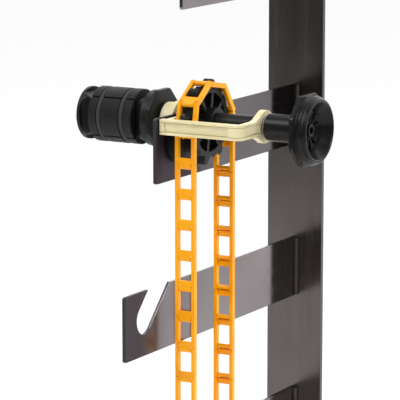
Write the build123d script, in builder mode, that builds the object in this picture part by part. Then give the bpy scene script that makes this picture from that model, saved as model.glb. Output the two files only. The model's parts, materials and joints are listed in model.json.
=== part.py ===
"""Wall bracket with a chain-driven roll drive hung in one of its four hooks.

Millimetres. +X runs out along the drive axis to the knob, +Y into the wall and +Z up.
The origin is the middle of the upright's back face, which lies on the wall, and the
four hook arms stand in the plane X = 0.
"""

from build123d import *
from math import cos, pi, radians, sin, sqrt, tan
import os

os.makedirs("parts", exist_ok=True)

# ---- wall bracket: flat steel bar ----
upright_w = 50.0            # flat bar of the upright
upright_t = 4.0
upright_len = 560.0
corner_r = 3.0
screw_hole_r = 2.75
screw_spread = 26.0         # hole to hole across the upright
screw_end = 25.0            # hole centre to the upright's end
arm_h = 50.0                # flat bar of the arms
arm_t = 3.0
arm_pitch = 128.0           # arm to arm down the upright
arm_len = {"top": 189.0, "drive": 229.0, "lower": 275.0, "bottom": 322.0}
tip_r = 2.0
weld_leg = 3.0
weld_end = 1.0              # weld stops short of the arm's edges

# ---- hook slot, cut at 45 degrees, open up and towards the wall ----
slot_w = 23.0
slot_seat = 28.5            # arm's tip to the centre of the slot's round end
slot_drop = 21.8            # arm's top edge down to that centre
seat_rise = 15.4            # drive axis above and behind that centre

# ---- clearances ----
running_gap = 0.05          # radial, shaft in bush
seat_gap = 0.03             # radial, pieces that are fixed together
side_gap = 0.2              # flat faces that slide or sit side by side
slot_gap = 0.2              # shoe in the slot

# ---- drive line, all on the drive axis ----
rod_r = 4.0
tube_bore_r = rod_r + 0.5
tube_r = 6.5
bush_r = tube_r + 1.6
bush_flange_r = bush_r + 2.4
bush_flange_t = 1.0
washer_t = 1.2
washer_gap = 0.15
spacer_r = tube_r + 1.2
end_gap = 0.5               # end play beside the sprocket and the eye
ring_t = 1.2
ring_r = tube_r + 2.4
tube_end_len = 2.4          # tube past the retaining ring

# ---- chain and sprocket ----
chain_pitch = 23.5
chain_w = 17.0
chain_t = 4.0
rail_w = 3.0
window_len = chain_pitch - 8.2
joint_gap = 0.2             # link's end short of the hinge line
strand_links = 12
wrap_turn = 45.0            # turn at each hinge round the sprocket
wrap_start = 10.0           # first wrapped link's lean from upright
chain_side_gap = 1.5        # yoke plate to the chain's edge
tooth_count = 8
tooth_w = 9.0
tooth_stand = 2.8           # tooth tip beyond the chain's outer face
disc_side_gap = 0.7
disc_gap = 0.36             # link's underside to the sprocket's flats
hub_r = tube_r + 5.0
hub_past_disc = 6.2
rim_w = 3.5                 # rim of the sprocket outside its pockets
pocket_depth = 5.5
rib_w = 3.0
set_screw_r = 2.0
set_screw_turn = 100.0

# ---- nylon hook shoe and yoke ----
shoe_r = slot_w / 2 - slot_gap
flange_r = shoe_r + 3.2
flange_t = 3.5
inner_flange_t = 4.0
boss_r = bush_r + 5.0
boss_len = 7.8
yoke_plate_t = 3.8
yoke_h = 11.6
bar_depth = 5.8
tooth_clear = 1.4           # tooth tip to the bar's inner face
bar_overhang = 3.0          # bar past the left plate, towards the arm
bar_span = 62.5             # left plate's outer face to the eye's outer face
eye_r = bush_r + 4.4
eye_t = 5.0
lip_t = 1.8                 # lips along the bar's hollowed face
channel_depth = 1.8
leg_channel_depth = 1.0
corner_round = 7.0
screw_r = 1.5
screw_head_r = 2.6
screw_head_t = 1.9
plate_r = bush_r + 3.2       # yoke's plate round the bush
ear_r = screw_head_r + 2.0   # and round the nearer screw
screw_offsets = (bush_r + 4.2, bush_r + 14.4)   # from the drive axis along the slot

# ---- expanding plug for the roll's core ----
plug_flange_r = 24.5        # across the corners
plug_flange_t = 5.0
spigot_r = 21.5
spigot_len = 6.0
wedge_half = 17.0           # half width of each wedge's square base
wedge_corner_r = spigot_r - 1.0   # its corners are turned down to this
wedge_len = 18.0
wedge_angle = 30.0
tube_socket = 10.0
rod_gap = 0.3
jaw_r = 21.4
jaw_len = 38.0
jaw_split = 0.5             # half the gap between two jaws
jaw_wedge_gap = 0.3
jaw_clear = 1.0             # jaws to spigot when fully spread
jaw_wall = 7.0              # axis to the flat inside the jaw
draw_travel = 14.0          # rod travel that spreads the jaws
band_r = 21.2
band_w = 3.4
band_gap = 0.3
band_t = 1.7
band_inset = 9.0            # jaw's end to the band's middle
cone_back_t = 3.0
nut_flat = 13.0             # across flats
nut_t = 6.5
rod_past_nut = 2.0

# ---- knob ----
neck_r = tube_r + 4.0
neck_len = 24.5
neck_gap = 0.8
flare_len = 5.0
grip_corner_r = 29.2
grip_sides = 8
grip_t = 4.0
dish_rim_r = 23.4
dish_len = 8.8
dish_wall = 1.8
dish_floor_r = 15.5
dish_depth = 10.4
button_r = 5.0
button_h = 3.4
button_hole_r = 2.8
insert_len = 14.0
rod_start = 8.0             # rod in the insert with the jaws closed

# ---- places that follow from the sizes ----
arm_names = ("top", "drive", "lower", "bottom")
arms_span = (len(arm_names) - 1) * arm_pitch + arm_h
arm_top = {name: arms_span / 2 - k * arm_pitch for k, name in enumerate(arm_names)}
axis_y = -upright_t - arm_len["drive"] + slot_seat + seat_rise
axis_z = arm_top["drive"] - slot_drop + seat_rise

shoe_half = arm_t / 2 + side_gap
yoke_left = shoe_half + flange_t
yoke_plate_end = yoke_left + yoke_plate_t
boss_end = -shoe_half - inner_flange_t - boss_len
plug_face = boss_end - bush_flange_t - washer_t - 2 * washer_gap
eye_end = yoke_left + bar_span + yoke_plate_t
eye_start = eye_end - eye_t

chain_start = yoke_plate_end + chain_side_gap
chain_mid = chain_start + chain_w / 2
disc_half = chain_w / 2 - rail_w - disc_side_gap
disc_end = chain_mid + disc_half
hub_start = yoke_plate_end + end_gap
hub_end = disc_end + hub_past_disc
turn_step = radians(wrap_turn / 2)
link_flat_r = chain_pitch / (2 * tan(turn_step))
disc_flat_r = link_flat_r - chain_t / 2 - disc_gap
pocket_r = disc_flat_r - rim_w
tooth_tip_r = link_flat_r + chain_t / 2 + tooth_stand
bar_face = tooth_tip_r + tooth_clear

ring_start = eye_end + end_gap + washer_gap
tube_end = ring_start + ring_t + tube_end_len
spigot_start = plug_face - plug_flange_t
wedge_start = spigot_start - spigot_len
wedge_tip = wedge_half - wedge_len * tan(radians(wedge_angle))
jaw_end = wedge_start - jaw_clear - draw_travel / 2
jaw_mid = jaw_end - jaw_len / 2
cone_base = 2 * jaw_mid - wedge_start
nut_face = cone_base - cone_back_t
rod_left = nut_face - nut_t - rod_past_nut

neck_start = ring_start + ring_t + neck_gap
flare_start = neck_start + neck_len
grip_start = flare_start + flare_len
dish_start = grip_start + grip_t
dish_end = dish_start + dish_len
dish_floor = dish_end - dish_depth
washer_start = tube_end + washer_gap
insert_start = washer_start + washer_t + washer_gap
rod_right = insert_start + rod_start


def save(piece, label):
    """Name the finished piece and write its STEP file."""
    piece.part.label = label
    export_step(piece.part, f"parts/{label}.step")


def axis_plane(x):
    """Plane square to the drive axis at x: local x is +Y, local y is +Z."""
    return Plane(origin=(x, axis_y, axis_z), x_dir=(0, 1, 0), z_dir=(1, 0, 0))


def sleeve(x_start, x_end, r_out, r_in):
    """Plain ring or tube on the drive axis."""
    with BuildPart() as ring:
        with BuildSketch(axis_plane(x_start)):
            Circle(r_out)
            Circle(r_in, mode=Mode.SUBTRACT)
        extrude(amount=x_end - x_start)
    return ring


# ---- bracket ----
with BuildPart() as upright:
    with BuildSketch(Plane.XZ):
        RectangleRounded(upright_w, upright_len, corner_r)
        with GridLocations(screw_spread, upright_len - 2 * screw_end, 2, 2):
            Circle(screw_hole_r, mode=Mode.SUBTRACT)
    extrude(amount=upright_t)
save(upright, "wall_upright")


def hook_arm(length, top):
    """Flat arm on edge, with the slanted slot near its rounded tip."""
    tip = -upright_t - length
    seat_y = tip + slot_seat
    seat_z = top - slot_drop
    run = slot_drop * sqrt(2) + slot_w
    with BuildPart() as arm:
        with BuildSketch(Plane.YZ.offset(-arm_t / 2)) as outline:
            with Locations((tip + length / 2, top - arm_h / 2)):
                Rectangle(length, arm_h)
            fillet(outline.vertices().group_by(Axis.X)[0], tip_r)
            with Locations((seat_y, seat_z)):
                Circle(slot_w / 2, mode=Mode.SUBTRACT)
            with Locations((seat_y + run / sqrt(8), seat_z + run / sqrt(8))):
                Rectangle(run, slot_w, rotation=45, mode=Mode.SUBTRACT)
        extrude(amount=arm_t)
    return arm


for name in arm_names:
    save(hook_arm(arm_len[name], arm_top[name]), f"hook_arm_{name}")

# fillet weld down each side of each arm
with BuildPart() as welds:
    for name in arm_names:
        with BuildSketch(Plane.XY.offset(arm_top[name] - arm_h + weld_end)):
            for side in (-1, 1):
                root = side * arm_t / 2
                toe = side * (arm_t / 2 + weld_leg)
                corners = [(root, -upright_t), (toe, -upright_t), (root, -upright_t - weld_leg)]
                Polygon(*corners, align=None)
        extrude(amount=arm_h - 2 * weld_end)
save(welds, "arm_welds")


# ---- nylon hook shoe ----
def slot_lobe(radius):
    """Round-ended outline from the drive axis down the slot to its seat."""
    with Locations((-seat_rise / 2, -seat_rise / 2)):
        SlotCenterToCenter(seat_rise * sqrt(2), 2 * radius, rotation=45)


def screw_places():
    """The two screws, on the slot's centre line below the drive axis."""
    return [(-d / sqrt(2), -d / sqrt(2)) for d in screw_offsets]


screw_tip = -shoe_half - inner_flange_t + 0.6
with BuildPart() as shoe:
    with BuildSketch(axis_plane(-shoe_half)):
        slot_lobe(shoe_r)
    extrude(amount=2 * shoe_half)
    with BuildSketch(axis_plane(-shoe_half - inner_flange_t)):
        slot_lobe(flange_r)
    extrude(amount=inner_flange_t)
    with BuildSketch(axis_plane(boss_end)):
        Circle(boss_r)
    extrude(amount=boss_len)
    with BuildSketch(axis_plane(boss_end)):
        Circle(bush_r + seat_gap)
    extrude(amount=shoe_half - boss_end, mode=Mode.SUBTRACT)
    with BuildSketch(axis_plane(screw_tip - side_gap)):
        with Locations(*screw_places()):
            Circle(screw_r + seat_gap)
    extrude(amount=shoe_half - screw_tip + side_gap, mode=Mode.SUBTRACT)
save(shoe, "hook_shoe")

# black keeper on the arm's other side
with BuildPart() as keeper:
    with BuildSketch(axis_plane(shoe_half)):
        slot_lobe(flange_r)
        Circle(bush_r + seat_gap, mode=Mode.SUBTRACT)
        with Locations(*screw_places()):
            Circle(screw_r + seat_gap, mode=Mode.SUBTRACT)
    extrude(amount=flange_t)
    with BuildSketch(axis_plane(yoke_left - screw_head_t - side_gap)):
        with Locations(screw_places()[1]):
            Circle(screw_head_r + seat_gap)
    extrude(amount=screw_head_t + side_gap, mode=Mode.SUBTRACT)
save(keeper, "shoe_keeper")

# ---- nylon yoke: plate on the keeper, bar in front of the chain, eye for the outer bush ----
bar_outer = bar_face + bar_depth
bar_left = yoke_left - bar_overhang
with BuildPart() as yoke:
    with BuildSketch(Plane(origin=(0, axis_y, axis_z - yoke_h / 2))) as plan:
        with Locations(((bar_left + eye_end) / 2, -bar_face - bar_depth / 2)):
            Rectangle(eye_end - bar_left, bar_depth)
        with Locations(((yoke_left + yoke_plate_end) / 2, -bar_outer / 2)):
            Rectangle(yoke_plate_t, bar_outer)
        with Locations(((eye_start + eye_end) / 2, -bar_outer / 2)):
            Rectangle(eye_t, bar_outer)
        front_corners = plan.vertices().group_by(Axis.Y)[0].sort_by(Axis.X)
        fillet(front_corners[-1], corner_round)
        fillet(front_corners[0], bar_depth / 2.5)
    extrude(amount=yoke_h)
    near_y, near_z = screw_places()[0]
    with BuildSketch(axis_plane(yoke_left)):
        Circle(plate_r)
        with Locations((near_y / 2, near_z / 2)):
            SlotCenterToCenter(screw_offsets[0], 2 * ear_r, rotation=45)
    extrude(amount=yoke_plate_t)
    with BuildSketch(axis_plane(eye_start)):
        Circle(eye_r)
        flare = []
        for side in (-1, 1):
            rise = [(-1.45, yoke_h / 2), (-1.12, eye_r * 0.54), (-0.92, eye_r * 0.65), (-0.7, eye_r * 0.76)]
            rise = [(eye_r * y, side * z) for y, z in rise]
            flare += rise if side < 0 else rise[::-1]
        Polygon(*flare, align=None)
    extrude(amount=eye_t)
    with BuildSketch(axis_plane(yoke_left)):
        Circle(bush_r + seat_gap)
    extrude(amount=eye_end - yoke_left, mode=Mode.SUBTRACT)
    with BuildSketch(axis_plane(yoke_left)):
        with Locations(screw_places()[0]):
            Circle(screw_r + seat_gap)
    extrude(amount=yoke_plate_t, mode=Mode.SUBTRACT)
    with BuildSketch(axis_plane(yoke_plate_end - screw_head_t - side_gap)):
        with Locations(screw_places()[0]):
            Circle(screw_head_r + seat_gap)
    extrude(amount=screw_head_t + side_gap, mode=Mode.SUBTRACT)
    with BuildSketch(Plane(origin=(0, axis_y - bar_outer, axis_z), x_dir=(1, 0, 0), z_dir=(0, 1, 0))):
        with Locations(((bar_left + eye_end) / 2 - corner_round / 2, 0)):
            Rectangle(eye_end - bar_left - 2 * corner_round, yoke_h - 2 * lip_t)
    extrude(amount=channel_depth, mode=Mode.SUBTRACT)
    leg_start = -bar_outer + corner_round
    leg_end = -eye_r - lip_t
    with BuildSketch(axis_plane(eye_end - leg_channel_depth)):
        with Locations(((leg_start + leg_end) / 2, 0)):
            Rectangle(leg_end - leg_start, yoke_h - 2 * lip_t)
    extrude(amount=leg_channel_depth, mode=Mode.SUBTRACT)
save(yoke, "yoke_frame")

with BuildPart() as shoe_screws:
    for place, head_end in zip(screw_places(), (yoke_plate_end, yoke_left)):
        with BuildSketch(axis_plane(screw_tip)):
            with Locations(place):
                Circle(screw_r)
        extrude(amount=head_end - screw_tip)
        with BuildSketch(axis_plane(head_end - screw_head_t)):
            with Locations(place):
                Circle(screw_head_r)
        extrude(amount=screw_head_t)
save(shoe_screws, "shoe_screws")

with BuildPart() as inner_bush:
    with BuildSketch(axis_plane(boss_end)):
        Circle(bush_r)
    extrude(amount=yoke_plate_end - boss_end)
    with BuildSketch(axis_plane(boss_end - bush_flange_t)):
        Circle(bush_flange_r)
    extrude(amount=bush_flange_t)
    with BuildSketch(axis_plane(boss_end - bush_flange_t)):
        Circle(tube_r + running_gap)
    extrude(amount=yoke_plate_end - boss_end + bush_flange_t, mode=Mode.SUBTRACT)
save(inner_bush, "inner_bush")

outer_bush = sleeve(eye_start - end_gap / 2, eye_end + end_gap / 2, bush_r, tube_r + running_gap)
save(outer_bush, "outer_bush")


# ---- ladder chain: closed loop of clipped links ----
def path(start, headings):
    """Hinge points of a run of links; a heading of 0 is up and 90 is towards the wall."""
    points = [start]
    for heading in headings:
        y, z = points[-1]
        a = radians(heading)
        points.append((y + chain_pitch * sin(a), z + chain_pitch * cos(a)))
    return points


def links(points):
    """Flat open links with rounded ends, one between each two hinge points."""
    with BuildPart() as run:
        for (y0, z0), (y1, z1) in zip(points, points[1:]):
            middle = (chain_mid, axis_y + (y0 + y1) / 2, axis_z + (z0 + z1) / 2)
            along = (0, (y1 - y0) / chain_pitch, (z1 - z0) / chain_pitch)
            with BuildSketch(Plane(origin=middle, x_dir=along, z_dir=(1, 0, 0))):
                SlotOverall(chain_pitch - 2 * joint_gap, chain_t)
            extrude(amount=chain_w / 2, both=True)
            face = Plane(origin=middle, x_dir=(1, 0, 0), z_dir=(0, -along[2], along[1]))
            with BuildSketch(face):
                Rectangle(chain_w - 2 * rail_w, window_len)
            extrude(amount=chain_t, both=True, mode=Mode.SUBTRACT)
    return run


wrap_links = round(180 / wrap_turn)
wrap_headings = [wrap_start + wrap_turn * k for k in range(wrap_links)]
reach = chain_pitch * sum(sin(radians(h)) for h in wrap_headings)
climb = chain_pitch * sum(cos(radians(h)) for h in wrap_headings)
top_path = path((-reach / 2, -climb / 2), wrap_headings)
rear_path = path(top_path[-1], [180.0] * strand_links)
bottom_path = path(rear_path[-1], [h + 180 for h in wrap_headings])
front_path = path(bottom_path[-1], [0.0] * strand_links)
save(links(top_path), "chain_top_wrap")
save(links(rear_path), "chain_rear_strand")
save(links(bottom_path), "chain_bottom_bend")
save(links(front_path), "chain_front_strand")


# ---- sprocket ----
def polar(radius, angle):
    """Point at a radius and an angle in degrees, from +Y towards +Z."""
    a = radians(angle)
    return (radius * cos(a), radius * sin(a))


tooth_step = 360 / tooth_count
tooth_angles = [180 - wrap_start - tooth_step * k for k in range(tooth_count)]
with BuildPart() as sprocket:
    with BuildSketch(axis_plane(chain_mid - disc_half)):
        corner_radius = disc_flat_r / cos(pi / tooth_count)
        Polygon(*[polar(corner_radius, a + tooth_step / 2) for a in tooth_angles], align=None)
        for a in tooth_angles:
            root_y, root_z = polar(disc_flat_r / 2 + tooth_tip_r / 2 - 2, a)
            with Locations((root_y, root_z)):
                Trapezoid(tooth_w, tooth_tip_r - disc_flat_r + 4, 82, rotation=a - 90)
        Circle(tooth_tip_r, mode=Mode.INTERSECT)
    extrude(amount=2 * disc_half)
    with BuildSketch(axis_plane(disc_end - pocket_depth)):
        Circle(pocket_r)
        Circle(hub_r, mode=Mode.SUBTRACT)
        for a in tooth_angles[: tooth_count // 2]:
            Rectangle(2 * pocket_r, rib_w, rotation=a, mode=Mode.SUBTRACT)
    extrude(amount=pocket_depth, mode=Mode.SUBTRACT)
    with BuildSketch(axis_plane(hub_start)):
        Circle(hub_r)
    extrude(amount=hub_end - hub_start)
    with BuildSketch(axis_plane(hub_start)):
        Circle(tube_r + seat_gap)
    extrude(amount=hub_end - hub_start, mode=Mode.SUBTRACT)
    turn = radians(set_screw_turn)
    screw_x = (disc_end + hub_end) / 2
    screw_plane = Plane(
        origin=(screw_x, axis_y, axis_z), x_dir=(1, 0, 0), z_dir=(0, cos(turn), sin(turn))
    )
    with BuildSketch(screw_plane):
        Circle(set_screw_r + seat_gap)
    extrude(amount=hub_r + 1, mode=Mode.SUBTRACT)
save(sprocket, "sprocket")

with BuildPart() as set_screw:
    with BuildSketch(screw_plane.offset(tube_r + side_gap)):
        Circle(set_screw_r)
    extrude(amount=hub_r - tube_r - 2 * side_gap)
save(set_screw, "sprocket_set_screw")

# ---- drive tube and what is fixed on it ----
drive_tube = sleeve(plug_face - tube_socket, tube_end, tube_r, tube_bore_r)
save(drive_tube, "drive_tube")

spacer = sleeve(hub_end + side_gap, eye_start - end_gap - side_gap, spacer_r, tube_r + seat_gap)
save(spacer, "spacer_sleeve")

retaining_ring = sleeve(ring_start, ring_start + ring_t, ring_r, tube_r + seat_gap)
save(retaining_ring, "retaining_ring")

plug_washer = sleeve(
    plug_face + washer_gap, plug_face + washer_gap + washer_t, bush_flange_r, tube_r + seat_gap
)
save(plug_washer, "plug_washer")

knob_washer = sleeve(washer_start, washer_start + washer_t, tube_r - side_gap, rod_r + rod_gap)
save(knob_washer, "knob_washer")


# ---- expanding plug ----
def wedge(base_x, length):
    """Square wedge thinning along its length, its corners turned down."""
    with BuildPart() as body:
        with BuildSketch(axis_plane(base_x)):
            Rectangle(2 * wedge_half, 2 * wedge_half)
        with BuildSketch(axis_plane(base_x + length)):
            Rectangle(2 * wedge_tip, 2 * wedge_tip)
        loft()
        with BuildSketch(axis_plane(base_x)):
            Circle(wedge_corner_r)
        extrude(amount=length, mode=Mode.INTERSECT)
    return body.part


with BuildPart() as plug_hub:
    with BuildSketch(axis_plane(spigot_start)) as flange_outline:
        RegularPolygon(plug_flange_r, 8, rotation=22.5)
        fillet(flange_outline.vertices(), 3.0)
    extrude(amount=plug_flange_t)
    with BuildSketch(axis_plane(wedge_start)):
        Circle(spigot_r)
    extrude(amount=spigot_len)
    add(wedge(wedge_start, -wedge_len))
    with BuildSketch(axis_plane(wedge_start - wedge_len)):
        Circle(rod_r + rod_gap)
    extrude(amount=plug_face - wedge_start + wedge_len, mode=Mode.SUBTRACT)
    with BuildSketch(axis_plane(plug_face - tube_socket)):
        Circle(tube_r + seat_gap)
    extrude(amount=tube_socket, mode=Mode.SUBTRACT)
save(plug_hub, "plug_hub")

with BuildPart() as cone:
    with BuildSketch(axis_plane(nut_face)):
        Circle(wedge_corner_r)
    extrude(amount=cone_back_t)
    add(wedge(cone_base, wedge_len))
    with BuildSketch(axis_plane(nut_face)):
        Circle(rod_r + seat_gap)
    extrude(amount=cone_back_t + wedge_len, mode=Mode.SUBTRACT)
save(cone, "expander_cone")

wedge_slope = tan(radians(wedge_angle))
gap_rise = jaw_wedge_gap / cos(radians(wedge_angle))
for k in range(4):
    a = radians(90 * k)
    radial = (0, cos(a), sin(a))
    tangent = (0, -sin(a), cos(a))
    middle = (jaw_mid, axis_y, axis_z)
    mouth_h = wedge_half + gap_rise - (wedge_start - jaw_end) * wedge_slope
    flat_half = jaw_len / 2 - (mouth_h - jaw_wall) / wedge_slope
    with BuildPart() as jaw:
        with BuildSketch(Plane(origin=middle, x_dir=(1, 0, 0), z_dir=tangent)):
            side_view = [
                (-jaw_len / 2, jaw_r + 1),
                (-jaw_len / 2, mouth_h),
                (-flat_half, jaw_wall),
                (flat_half, jaw_wall),
                (jaw_len / 2, mouth_h),
                (jaw_len / 2, jaw_r + 1),
            ]
            Polygon(*side_view, align=None)
        extrude(amount=jaw_r, both=True)
        with BuildSketch(Plane(origin=middle, x_dir=radial, z_dir=(1, 0, 0))):
            Circle(jaw_r)
            apex = jaw_split * sqrt(2)
            spread = 2 * jaw_r
            sector = [(apex, 0), (apex + spread, spread), (apex + spread, -spread)]
            Polygon(*sector, align=None, mode=Mode.INTERSECT)
        extrude(amount=jaw_len / 2, both=True, mode=Mode.INTERSECT)
        for side in (-1, 1):
            groove_x = jaw_mid + side * (jaw_len / 2 - band_inset) - band_w / 2 - band_gap
            with BuildSketch(axis_plane(groove_x)):
                Circle(jaw_r + 1)
                Circle(band_r - band_t - band_gap, mode=Mode.SUBTRACT)
            extrude(amount=band_w + 2 * band_gap, mode=Mode.SUBTRACT)
    save(jaw, f"jaw_{k + 1}")

with BuildPart() as bands:
    for side in (-1, 1):
        band_x = jaw_mid + side * (jaw_len / 2 - band_inset) - band_w / 2
        with BuildSketch(axis_plane(band_x)):
            Circle(band_r)
            Circle(band_r - band_t, mode=Mode.SUBTRACT)
        extrude(amount=band_w)
save(bands, "jaw_bands")

with BuildPart() as rod:
    with BuildSketch(axis_plane(rod_left)):
        Circle(rod_r)
    extrude(amount=rod_right - rod_left)
save(rod, "draw_rod")

with BuildPart() as cone_nut:
    with BuildSketch(axis_plane(nut_face - nut_t)):
        RegularPolygon(nut_flat / 2, 6, major_radius=False)
        Circle(rod_r + seat_gap, mode=Mode.SUBTRACT)
    extrude(amount=nut_t)
save(cone_nut, "cone_nut")

# ---- knob ----
profile_plane = Plane(origin=(0, axis_y, axis_z), x_dir=(1, 0, 0), z_dir=(0, -1, 0))
grip_flat_r = grip_corner_r * cos(pi / grip_sides)
# groove, ridge and groove between the grip and the rim: distance along, depth below the grip
ridge_steps = [(0.6, 0.6), (1.2, 2.2), (2.0, 2.2), (2.6, 1.0), (5.2, 1.4), (6.0, 2.9), (6.6, 2.9)]
with BuildPart() as knob:
    with BuildSketch(profile_plane):
        with BuildLine():
            outline = [(neck_start, 0), (neck_start, neck_r), (flare_start, neck_r)]
            outline += [(grip_start, grip_flat_r - 6), (dish_start, grip_flat_r - 0.6)]
            for along, inset in ridge_steps:
                outline += [(dish_start + along, grip_flat_r - inset)]
            outline += [(dish_end - 0.6, dish_rim_r + 0.5), (dish_end, dish_rim_r)]
            outline += [(dish_end, dish_rim_r - dish_wall), (dish_floor + 3.5, dish_floor_r + 1.5)]
            outline += [(dish_floor, dish_floor_r), (dish_floor, button_r)]
            outline += [(dish_floor + button_h, button_r), (dish_floor + button_h, button_hole_r)]
            outline += [(dish_floor, button_hole_r), (dish_floor, 0), (neck_start, 0)]
            Polyline(*outline)
        make_face()
    revolve(axis=Axis((0, axis_y, axis_z), (1, 0, 0)))
    with BuildSketch(axis_plane(grip_start)) as grip_outline:
        RegularPolygon(grip_corner_r, grip_sides, rotation=22.5)
        fillet(grip_outline.vertices(), 5.0)
        Circle(grip_flat_r - 7, mode=Mode.SUBTRACT)
    extrude(amount=grip_t)
    with BuildSketch(axis_plane(neck_start)):
        Circle(tube_r + running_gap)
    extrude(amount=insert_start - neck_start, mode=Mode.SUBTRACT)
    with BuildSketch(axis_plane(insert_start)):
        RegularPolygon(nut_flat / 2 + seat_gap, 6, major_radius=False)
    extrude(amount=insert_len, mode=Mode.SUBTRACT)
    with BuildSketch(axis_plane(insert_start)):
        Circle(rod_r + rod_gap)
    extrude(amount=dish_floor - 2.0 - insert_start, mode=Mode.SUBTRACT)
save(knob, "knob_body")

with BuildPart() as insert:
    with BuildSketch(axis_plane(insert_start)):
        RegularPolygon(nut_flat / 2, 6, major_radius=False)
        Circle(rod_r + running_gap, mode=Mode.SUBTRACT)
    extrude(amount=insert_len)
save(insert, "knob_insert")
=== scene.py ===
import json
from math import cos, pi, radians, sin, sqrt, tan, tau

import bmesh
import bpy
from mathutils import Matrix, Vector


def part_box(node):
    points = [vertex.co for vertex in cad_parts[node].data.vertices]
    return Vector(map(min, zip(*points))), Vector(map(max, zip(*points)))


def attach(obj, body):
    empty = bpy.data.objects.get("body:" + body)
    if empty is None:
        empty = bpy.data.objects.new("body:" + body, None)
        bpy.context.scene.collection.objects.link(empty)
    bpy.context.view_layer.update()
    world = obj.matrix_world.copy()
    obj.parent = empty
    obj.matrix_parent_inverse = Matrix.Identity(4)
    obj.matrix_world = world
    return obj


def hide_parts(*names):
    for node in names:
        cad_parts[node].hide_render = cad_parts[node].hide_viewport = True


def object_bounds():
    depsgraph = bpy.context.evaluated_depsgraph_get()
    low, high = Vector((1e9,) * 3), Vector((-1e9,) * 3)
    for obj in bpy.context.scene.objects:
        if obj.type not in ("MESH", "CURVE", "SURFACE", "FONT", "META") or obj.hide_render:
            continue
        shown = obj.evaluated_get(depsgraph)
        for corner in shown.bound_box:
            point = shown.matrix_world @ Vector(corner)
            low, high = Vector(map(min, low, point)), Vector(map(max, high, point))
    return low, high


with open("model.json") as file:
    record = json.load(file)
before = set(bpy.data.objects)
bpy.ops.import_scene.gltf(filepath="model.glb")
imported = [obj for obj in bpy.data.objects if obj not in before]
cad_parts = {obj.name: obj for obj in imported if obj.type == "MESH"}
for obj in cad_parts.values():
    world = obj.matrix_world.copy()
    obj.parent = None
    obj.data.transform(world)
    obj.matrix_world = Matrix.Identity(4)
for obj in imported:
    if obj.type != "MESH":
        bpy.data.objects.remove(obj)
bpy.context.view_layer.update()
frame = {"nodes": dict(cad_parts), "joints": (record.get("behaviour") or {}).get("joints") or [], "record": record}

# ---------------------------------------------------------------- wall upright
# Hot-rolled flat bar, drilled for four wall screws near its ends and painted
# dark gunmetal. Its edges are as rolled, slightly round, and catch the light.

BAR_EDGE = 0.0006
SCREW_HOLE_R = 0.00275
UPRIGHT_CORNER_R = 0.003
# The upright and the arms carry the same paint, but the upright's colour is set at about half the arms': painted
# shade.
UPRIGHT_SHADED_LOW = (0.096, 0.086, 0.083)
UPRIGHT_SHADED_HIGH = (0.124, 0.110, 0.107)


def noise_field(nodes, links, scale, detail, stretch=(1, 1, 1)):
    """Noise on the piece's own coordinates, drawn out along the axes in stretch."""
    coords = nodes.new("ShaderNodeTexCoord")
    mapping = nodes.new("ShaderNodeMapping")
    mapping.inputs["Scale"].default_value = stretch
    field = nodes.new("ShaderNodeTexNoise")
    field.inputs["Scale"].default_value = scale
    field.inputs["Detail"].default_value = detail
    links.new(coords.outputs["Object"], mapping.inputs["Vector"])
    links.new(mapping.outputs["Vector"], field.inputs["Vector"])
    return field.outputs["Fac"]


def ramp(nodes, links, value, low, high, start=0.3, end=0.7):
    """Colour that runs from low to high as value runs from start to end."""
    blend = nodes.new("ShaderNodeValToRGB")
    blend.color_ramp.elements[0].position = start
    blend.color_ramp.elements[0].color = (*low, 1)
    blend.color_ramp.elements[1].position = end
    blend.color_ramp.elements[1].color = (*high, 1)
    links.new(value, blend.inputs["Fac"])
    return blend.outputs["Color"]


def span(nodes, links, value, low, high):
    """Number that runs from low to high with value."""
    fit = nodes.new("ShaderNodeMapRange")
    fit.inputs["From Min"].default_value = 0.3
    fit.inputs["From Max"].default_value = 0.7
    fit.inputs["To Min"].default_value = low
    fit.inputs["To Max"].default_value = high
    links.new(value, fit.inputs["Value"])
    return fit.outputs["Result"]


def bump(nodes, links, value, distance, strength=0.5, under=None):
    """Surface relief of the given depth in metres, over another relief if given."""
    relief = nodes.new("ShaderNodeBump")
    relief.inputs["Distance"].default_value = distance
    relief.inputs["Strength"].default_value = strength
    links.new(value, relief.inputs["Height"])
    if under is not None:
        links.new(under, relief.inputs["Normal"])
    return relief.outputs["Normal"]


def shader(name):
    """New material: its nodes, its links and its Principled shader."""
    material = bpy.data.materials.new(name)
    material.use_nodes = True
    tree = material.node_tree
    return material, tree.nodes, tree.links, tree.nodes["Principled BSDF"]


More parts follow.
